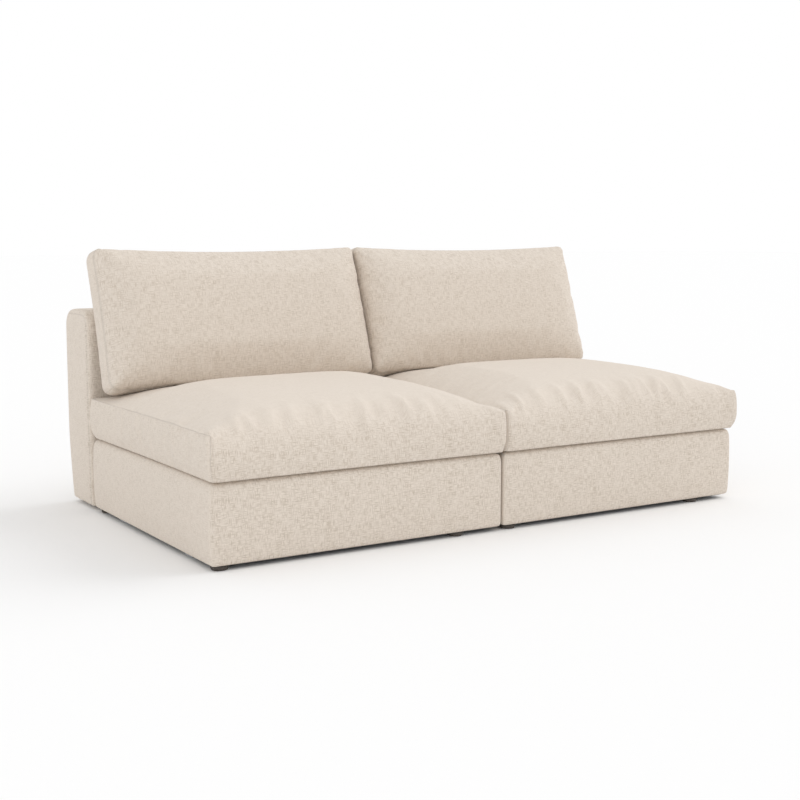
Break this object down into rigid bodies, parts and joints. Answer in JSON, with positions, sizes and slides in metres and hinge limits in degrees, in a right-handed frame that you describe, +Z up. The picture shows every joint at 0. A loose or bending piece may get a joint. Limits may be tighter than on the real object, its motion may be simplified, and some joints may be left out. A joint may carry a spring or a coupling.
{
  "type": "modular sofa",
  "caption": "Armless deep modular sofa of joined modules: upholstered base, low back rest, loose waterfall seat cushion and loose leaning back cushion on low round feet.",
  "frame": {"origin": "centre of the overall box at floor level, under the middle of the pair of modules", "axes": "+X to the sitter-facing viewer's right along the row, -Y towards the front, +Z up"},
  "size_m": [1.9146, 1.188, 0.8387],
  "materials": {
    "linen": "cream heathered weave",
    "foam": "cut foam and fibre",
    "timber": "planed softwood",
    "hardboard": "smooth hardboard",
    "webbing": "woven elastic strap",
    "dust_cloth": "black non-woven",
    "foot_plastic": "dark brown-black",
    "spring_steel": "oiled dark wire",
    "zinc_steel": "zinc plated",
    "zip_tape": "cream tape with plastic teeth"
  },
  "bodies": {
    "left_module": {"left_base_front_rail": "timber", "left_base_rear_rail": "timber", "left_base_side_rails": "timber", "left_base_centre_rail": "timber", "left_corner_blocks": "timber", "left_seat_springs": "spring_steel", "left_spring_clips": "spring_steel", "left_base_padding": "foam", "left_base_cover": "linen", "left_dust_cover": "dust_cloth", "left_feet": "foot_plastic", "left_link_keepers": "zinc_steel", "left_base_screws": "zinc_steel", "left_back_posts": "timber", "left_back_rails": "timber", "left_back_panel": "hardboard", "left_back_webbing": "webbing", "left_back_padding": "foam", "left_back_cover": "linen", "left_back_mount_blocks": "timber", "left_back_bolts": "zinc_steel", "link_plates": "zinc_steel"},
    "right_module": {"right_base_front_rail": "timber", "right_base_rear_rail": "timber", "right_base_side_rails": "timber", "right_base_centre_rail": "timber", "right_corner_blocks": "timber", "right_seat_springs": "spring_steel", "right_spring_clips": "spring_steel", "right_base_padding": "foam", "right_base_cover": "linen", "right_dust_cover": "dust_cloth", "right_feet": "foot_plastic", "right_link_keepers": "zinc_steel", "right_base_screws": "zinc_steel", "right_back_posts": "timber", "right_back_rails": "timber", "right_back_panel": "hardboard", "right_back_webbing": "webbing", "right_back_padding": "foam", "right_back_cover": "linen", "right_back_mount_blocks": "timber", "right_back_bolts": "zinc_steel"},
    "left_seat_cushion": {"left_seat_cover": "linen", "left_seat_core": "foam", "left_seat_zip": "zip_tape"},
    "left_seat_slider": {"left_seat_zip_slider": "zinc_steel"},
    "left_back_cushion": {"left_back_cushion_cover": "linen", "left_back_cushion_core": "foam", "left_back_zip": "zip_tape"},
    "left_back_slider": {"left_back_zip_slider": "zinc_steel"},
    "right_seat_cushion": {"right_seat_cover": "linen", "right_seat_core": "foam", "right_seat_zip": "zip_tape"},
    "right_seat_slider": {"right_seat_zip_slider": "zinc_steel"},
    "right_back_cushion": {"right_back_cushion_cover": "linen", "right_back_cushion_core": "foam", "right_back_zip": "zip_tape"},
    "right_back_slider": {"right_back_zip_slider": "zinc_steel"}
  },
  "joints": [
    {"name": "modules_part", "type": "slide", "parent": "left_module", "child": "right_module", "axis": [1, 0, 0], "range_m": [0, 0.25]},
    {"name": "left_seat_pull", "type": "slide", "parent": "left_module", "child": "left_seat_cushion", "axis": [0, -1, 0], "range_m": [0, 0.3]},
    {"name": "left_back_cushion_lift", "type": "slide", "parent": "left_module", "child": "left_back_cushion", "axis": [0, 0, 1], "range_m": [0, 0.3]},
    {"name": "left_seat_zip_run", "type": "slide", "parent": "left_seat_cushion", "child": "left_seat_slider", "axis": [-1, 0, 0], "range_m": [0, 0.66]},
    {"name": "left_back_zip_run", "type": "slide", "parent": "left_back_cushion", "child": "left_back_slider", "axis": [-1, 0, 0], "range_m": [0, 0.56]},
    {"name": "right_seat_pull", "type": "slide", "parent": "right_module", "child": "right_seat_cushion", "axis": [0, -1, 0], "range_m": [0, 0.3]},
    {"name": "right_back_cushion_lift", "type": "slide", "parent": "right_module", "child": "right_back_cushion", "axis": [0, 0, 1], "range_m": [0, 0.3]},
    {"name": "right_seat_zip_run", "type": "slide", "parent": "right_seat_cushion", "child": "right_seat_slider", "axis": [-1, 0, 0], "range_m": [0, 0.66]},
    {"name": "right_back_zip_run", "type": "slide", "parent": "right_back_cushion", "child": "right_back_slider", "axis": [-1, 0, 0], "range_m": [0, 0.56]}
  ]
}
